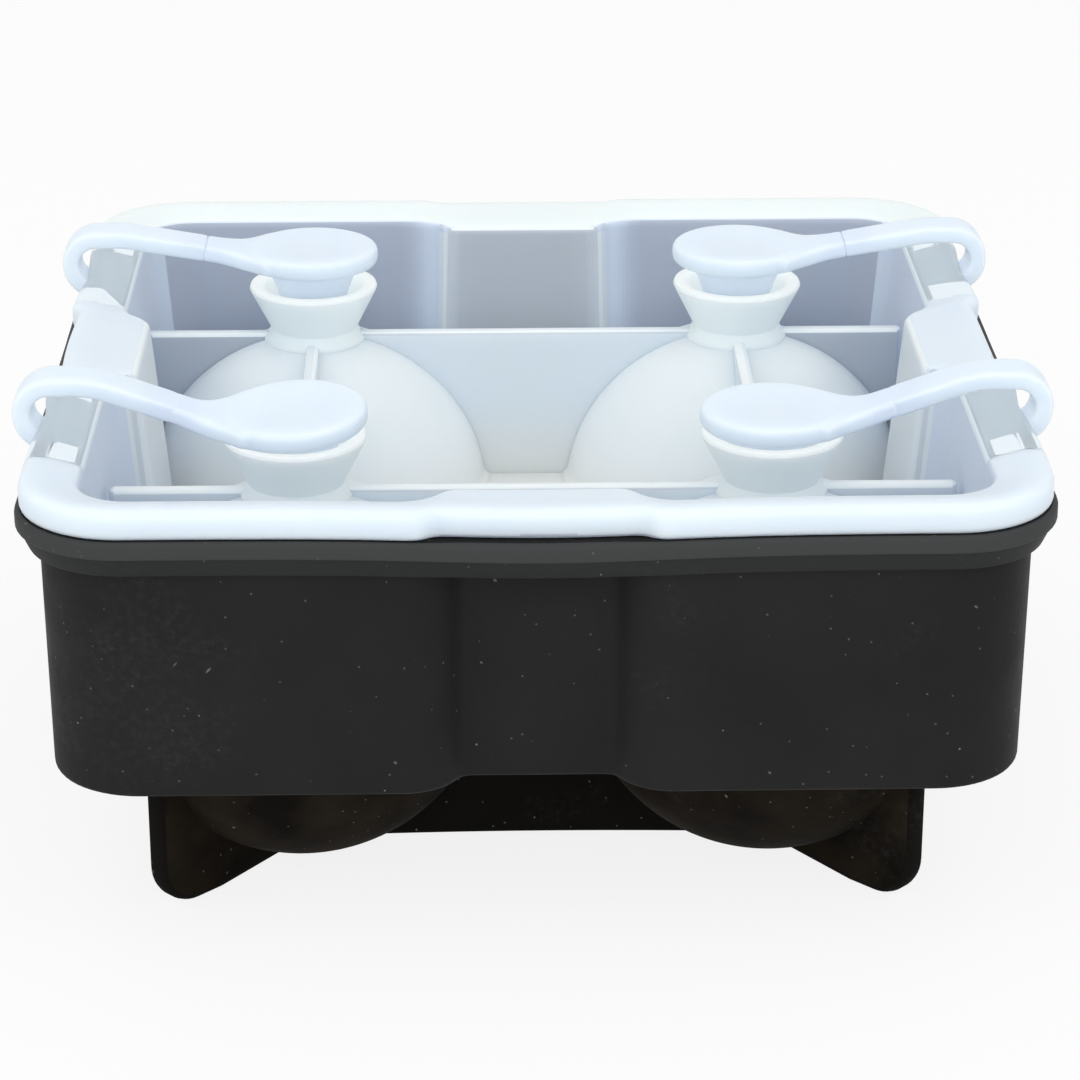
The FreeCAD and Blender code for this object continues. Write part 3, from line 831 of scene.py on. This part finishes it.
def flecks(tree, coords, scale, size, share, stretch=(1, 1, 1), turn=(0, 0, 0)):
    """Mask of sparse flecks: cells of a Voronoi pattern, of which only a share is kept."""
    place = node(tree, "ShaderNodeMapping", vector_type="TEXTURE")
    place.inputs["Scale"].default_value = stretch
    place.inputs["Rotation"].default_value = turn
    tree.links.new(coords, place.inputs["Vector"])
    cells = node(tree, "ShaderNodeTexVoronoi", feature="F1")
    cells.inputs["Scale"].default_value = scale
    tree.links.new(place.outputs[0], cells.inputs["Vector"])
    grain = ramp(tree, cells.outputs["Distance"], [(size * 0.6, 1.0), (size, 0.0)])
    channels = node(tree, "ShaderNodeSeparateColor")
    tree.links.new(cells.outputs["Color"], channels.inputs[0])
    chosen = ramp(tree, channels.outputs[0], [(1 - share, 0.0), (1 - share * 0.9, 1.0)])
    return product(tree, grain, chosen)


def blend(tree, factor, low, high):
    """Colour mix. The factor and each colour are a socket or a plain value."""
    mix = node(tree, "ShaderNodeMix", data_type="RGBA")
    for socket, value in ((mix.inputs["Factor"], factor), (mix.inputs[6], low), (mix.inputs[7], high)):
        if isinstance(value, bpy.types.NodeSocket):
            tree.links.new(value, socket)
        else:
            socket.default_value = value if isinstance(value, float) else (*value, 1)
    return mix.outputs[2]


def black_silicone():
    """Matte black silicone: a faint bloom, brown-grey cups, a lip paler by a painted highlight, painted
    shade under the skirt, dust, lint and scuffs.
    """
    material, tree, shader = new_material("black_silicone")
    coords = node(tree, "ShaderNodeTexCoord").outputs["Object"]
    bloom = noise(tree, coords, 38.0, 4.0)
    base = ramp(tree, bloom, [(0.3, (0.0135, 0.0135, 0.0138)), (0.75, (0.0195, 0.0192, 0.0192))])
    # Painted highlight on the flange's lip and bead.
    base = blend(tree, attribute(tree, "lip"), base, (0.047, 0.05, 0.05))
    # Painted shade: faces below the skirt and inside it are darker.
    under = attribute(tree, "under")
    base = blend(tree, under, base, (0.0062, 0.0057, 0.0051))
    brown = ramp(tree, noise(tree, coords, 90.0, 5.0), [(0.35, (0.0045, 0.0036, 0.0028)),
                                                        (0.75, (0.02, 0.015, 0.0095))])
    base = blend(tree, attribute(tree, "cup"), base, brown)
    worn = ramp(tree, noise(tree, coords, 26.0, 6.0, 0.7), [(0.56, 0.0), (0.75, 0.5)])
    rubbed = ramp(tree, noise(tree, coords, 900.0, 3.0, 0.7), [(0.45, 0.0), (0.7, 1.0)])
    masks = [
        (product(tree, worn, rubbed), (0.05, 0.05, 0.049)),
        (flecks(tree, coords, 620.0, 0.1, 0.5), (0.085, 0.084, 0.082)),
        (flecks(tree, coords, 270.0, 0.04, 0.25), (0.2, 0.195, 0.19)),
        (flecks(tree, coords, 300.0, 0.06, 0.35, (9, 1, 1), (0.3, 0.5, 0.9)), (0.12, 0.117, 0.112)),
        (flecks(tree, coords, 300.0, 0.055, 0.35, (1, 1, 9), (0.4, 0.7, 0.2)), (0.13, 0.127, 0.12)),
    ]
    for mask, colour in masks:
        base = blend(tree, mask, base, colour)
    tree.links.new(base, shader.inputs["Base Color"])
    rough = ramp(tree, noise(tree, coords, 120.0, 4.0), [(0.3, 0.5), (0.7, 0.64)])
    matte = node(tree, "ShaderNodeMath", operation="MULTIPLY_ADD")
    tree.links.new(under, matte.inputs[0])
    matte.inputs[1].default_value = 0.35
    tree.links.new(rough, matte.inputs[2])
    tree.links.new(matte.outputs[0], shader.inputs["Roughness"])
    shader.inputs["Specular IOR Level"].default_value = 0.06
    bump = node(tree, "ShaderNodeBump")
    bump.inputs["Strength"].default_value = 0.14
    bump.inputs["Distance"].default_value = 0.0003
    tree.links.new(noise(tree, coords, 1100.0, 2.0), bump.inputs["Height"])
    tree.links.new(bump.outputs[0], shader.inputs["Normal"])
    return material


def clear_silicone():
    """Milky translucent silicone with painted light and shade: painted darker and bluer outside,
    painted paler inside, a warm cream low down, and greyer by painted shade for the tray seen through
    and for shade.

    Near the joins of a stopper's strap the light stays at the surface, so that no join shows.
    """
    material, tree, shader = new_material("clear_silicone")
    coords = node(tree, "ShaderNodeTexCoord").outputs["Object"]
    cloud = noise(tree, coords, 22.0, 3.0)
    # Painted light and shade: two copies of the milk, darker and bluer for the well lit rim, caps and
    # straps, and paler for the dimmer parts marked paler.
    milk_painted_darker = ramp(tree, cloud, [(0.3, (0.72, 0.81, 0.95)), (0.75, (0.76, 0.845, 0.975))])
    milk_painted_paler = ramp(tree, cloud, [(0.3, (0.82, 0.9, 0.955)), (0.75, (0.85, 0.925, 0.975))])
    milk = blend(tree, attribute(tree, "painted_light"), milk_painted_darker, milk_painted_paler)
    # Painted light: the milk turns a warm cream towards the bottom, for the warm light passing through
    # the silicone low down.
    height = node(tree, "ShaderNodeSeparateXYZ")
    tree.links.new(coords, height.inputs[0])
    low = mapped(tree, height.outputs["Z"], 0.040, 0.028, 0.0, 1.0)
    milk = blend(tree, low, milk, (0.9, 0.91, 0.88))
    painted_shade_share = attribute(tree, "painted_shade")
    # Painted shade: the milk is darkened towards a blue-grey for the dark tray seen through the
    # silicone and for shade.
    base = blend(tree, painted_shade_share, milk, (0.3, 0.33, 0.41))
    tree.links.new(base, shader.inputs["Base Color"])
    rough = ramp(tree, noise(tree, coords, 140.0), [(0.3, 0.4), (0.7, 0.5)])
    tree.links.new(rough, shader.inputs["Roughness"])
    clear = mapped(tree, painted_shade_share, 0.0, 1.0, 0.04, 0.3)
    tree.links.new(clear, shader.inputs["Transmission Weight"])
    inside = mapped(tree, attribute(tree, "join"), 0.0, 1.0, 1.0, 0.0)
    tree.links.new(inside, shader.inputs["Subsurface Weight"])
    shader.inputs["IOR"].default_value = 1.41
    shader.inputs["Subsurface Radius"].default_value = (1.0, 0.95, 0.9)
    shader.inputs["Subsurface Scale"].default_value = 0.0022
    shader.inputs["Specular IOR Level"].default_value = 0.35
    return material


def paint(piece, material):
    """Give a piece one material and no other."""
    piece.data.materials.clear()
    piece.data.materials.append(material)


# Stage

def background_light(tree, surface, out, strength):
    """Show plain white to the camera and to reflections, by the given share, over the surface."""
    path = node(tree, "ShaderNodeLightPath")
    white = node(tree, "ShaderNodeEmission")
    white.inputs["Strength"].default_value = 1.0
    seen = path.outputs["Is Camera Ray"]
    for ray in ("Is Glossy Ray", "Is Transmission Ray"):
        either = node(tree, "ShaderNodeMath", operation="MAXIMUM")
        tree.links.new(seen, either.inputs[0])
        tree.links.new(path.outputs[ray], either.inputs[1])
        seen = either.outputs[0]
    mix = node(tree, "ShaderNodeMixShader")
    tree.links.new(product(tree, seen, strength), mix.inputs[0])
    tree.links.new(surface, mix.inputs[1])
    tree.links.new(white.outputs[0], mix.inputs[2])
    tree.links.new(mix.outputs[0], out)


def stage():
    """White floor that keeps a faint shadow, white surroundings, and four soft lamps."""
    floor = bpy.data.meshes.new("floor")
    reach = 3.0
    floor.from_pydata([(-reach, -reach, 0), (reach, -reach, 0), (reach, reach, 0), (-reach, reach, 0)],
                      [], [(0, 1, 2, 3)])
    floor = bpy.data.objects.new("floor", floor)
    bpy.context.scene.collection.objects.link(floor)
    material, tree, shader = new_material("floor_white")
    shader.inputs["Base Color"].default_value = (0.9, 0.9, 0.9, 1)
    shader.inputs["Roughness"].default_value = 0.9
    background_light(tree, shader.outputs[0], tree.nodes["Material Output"].inputs["Surface"], 0.85)
    floor.data.materials.append(material)
    world = bpy.data.worlds.new("white_room")
    bpy.context.scene.world = world
    world.use_nodes = True
    tree = world.node_tree
    back = tree.nodes["Background"]
    back.inputs["Color"].default_value = (1, 1, 1, 1)
    back.inputs["Strength"].default_value = 0.58
    background_light(tree, back.outputs[0], tree.nodes["World Output"].inputs["Surface"], 1.0)
    # Each lamp's place, aim and size are in metres and its power in watts.
    lamps = {
        "top_lamp": ((0.0, 0.05, 0.9), (0, 0, 0.03), 0.9, 1.9),
        "left_lamp": ((-0.8, -0.3, 0.6), (0, 0, 0.03), 0.6, 1.6),
        "right_lamp": ((0.8, -0.3, 0.6), (0, 0, 0.03), 0.6, 1.6),
        "front_lamp": ((-0.05, -0.95, 0.45), (0, 0, 0.04), 0.9, 4.0),
    }
    for name, (place, aim, size, power) in lamps.items():
        data = bpy.data.lights.new(name, "AREA")
        data.size = size
        data.energy = power
        lamp = bpy.data.objects.new(name, data)
        bpy.context.scene.collection.objects.link(lamp)
        lamp.location = place
        way = np.subtract(aim, place)
        flat = math.hypot(way[0], way[1])
        lamp.rotation_euler = (math.atan2(flat, -way[2]), 0, math.atan2(-way[0], way[1]))


def camera():
    """Camera at the photograph's place: above and in front, looking down at 22.6 degrees.

    The place is in metres. Place and turn were solved from where the four funnels appear.
    """
    data = bpy.data.cameras.new("camera")
    data.lens = 115.0
    data.sensor_width = 36.0
    view = bpy.data.objects.new("camera", data)
    bpy.context.scene.collection.objects.link(view)
    view.location = (-0.00827, -0.43547, 0.21151)
    view.rotation_euler = (math.radians(67.43), 0, math.radians(-1.274))
    bpy.context.scene.camera = view


def main():
    """Make every piece, give it its body and finish, hide the CAD node it replaces, and set the stage.
    """
    black, clear = black_silicone(), clear_silicone()
    tray, lid = lower_tray(), upper_lid()
    for piece, body, cad_node, material, slot in (
            (tray, "tray", "lower_tray", black, "black_silicone"),
            (lid, "lid", "upper_lid", clear, "clear_silicone")):
        paint(piece, material)
        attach(piece, body)
        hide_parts(cad_node)
    for side_x, side_y in PLACES:
        place = f"{ROW[side_y]}_{COLUMN[side_x]}"
        cap, band = stopper(side_x, side_y), strap(side_x, side_y)
        for piece, cad_node in ((cap, f"stopper_{place}"), (band, f"strap_{place}")):
            paint(piece, clear)
            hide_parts(cad_node)
        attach(cap, f"stopper_{place}")
        for piece in (cap, band):
            piece.visible_shadow = False
            piece.visible_diffuse = False
        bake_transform(band)
    for cad_node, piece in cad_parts.items():
        paint(piece, black if cad_node == "lower_tray" else clear)
    stage()
    camera()
    bpy.context.scene.view_settings.view_transform = "Standard"


main()
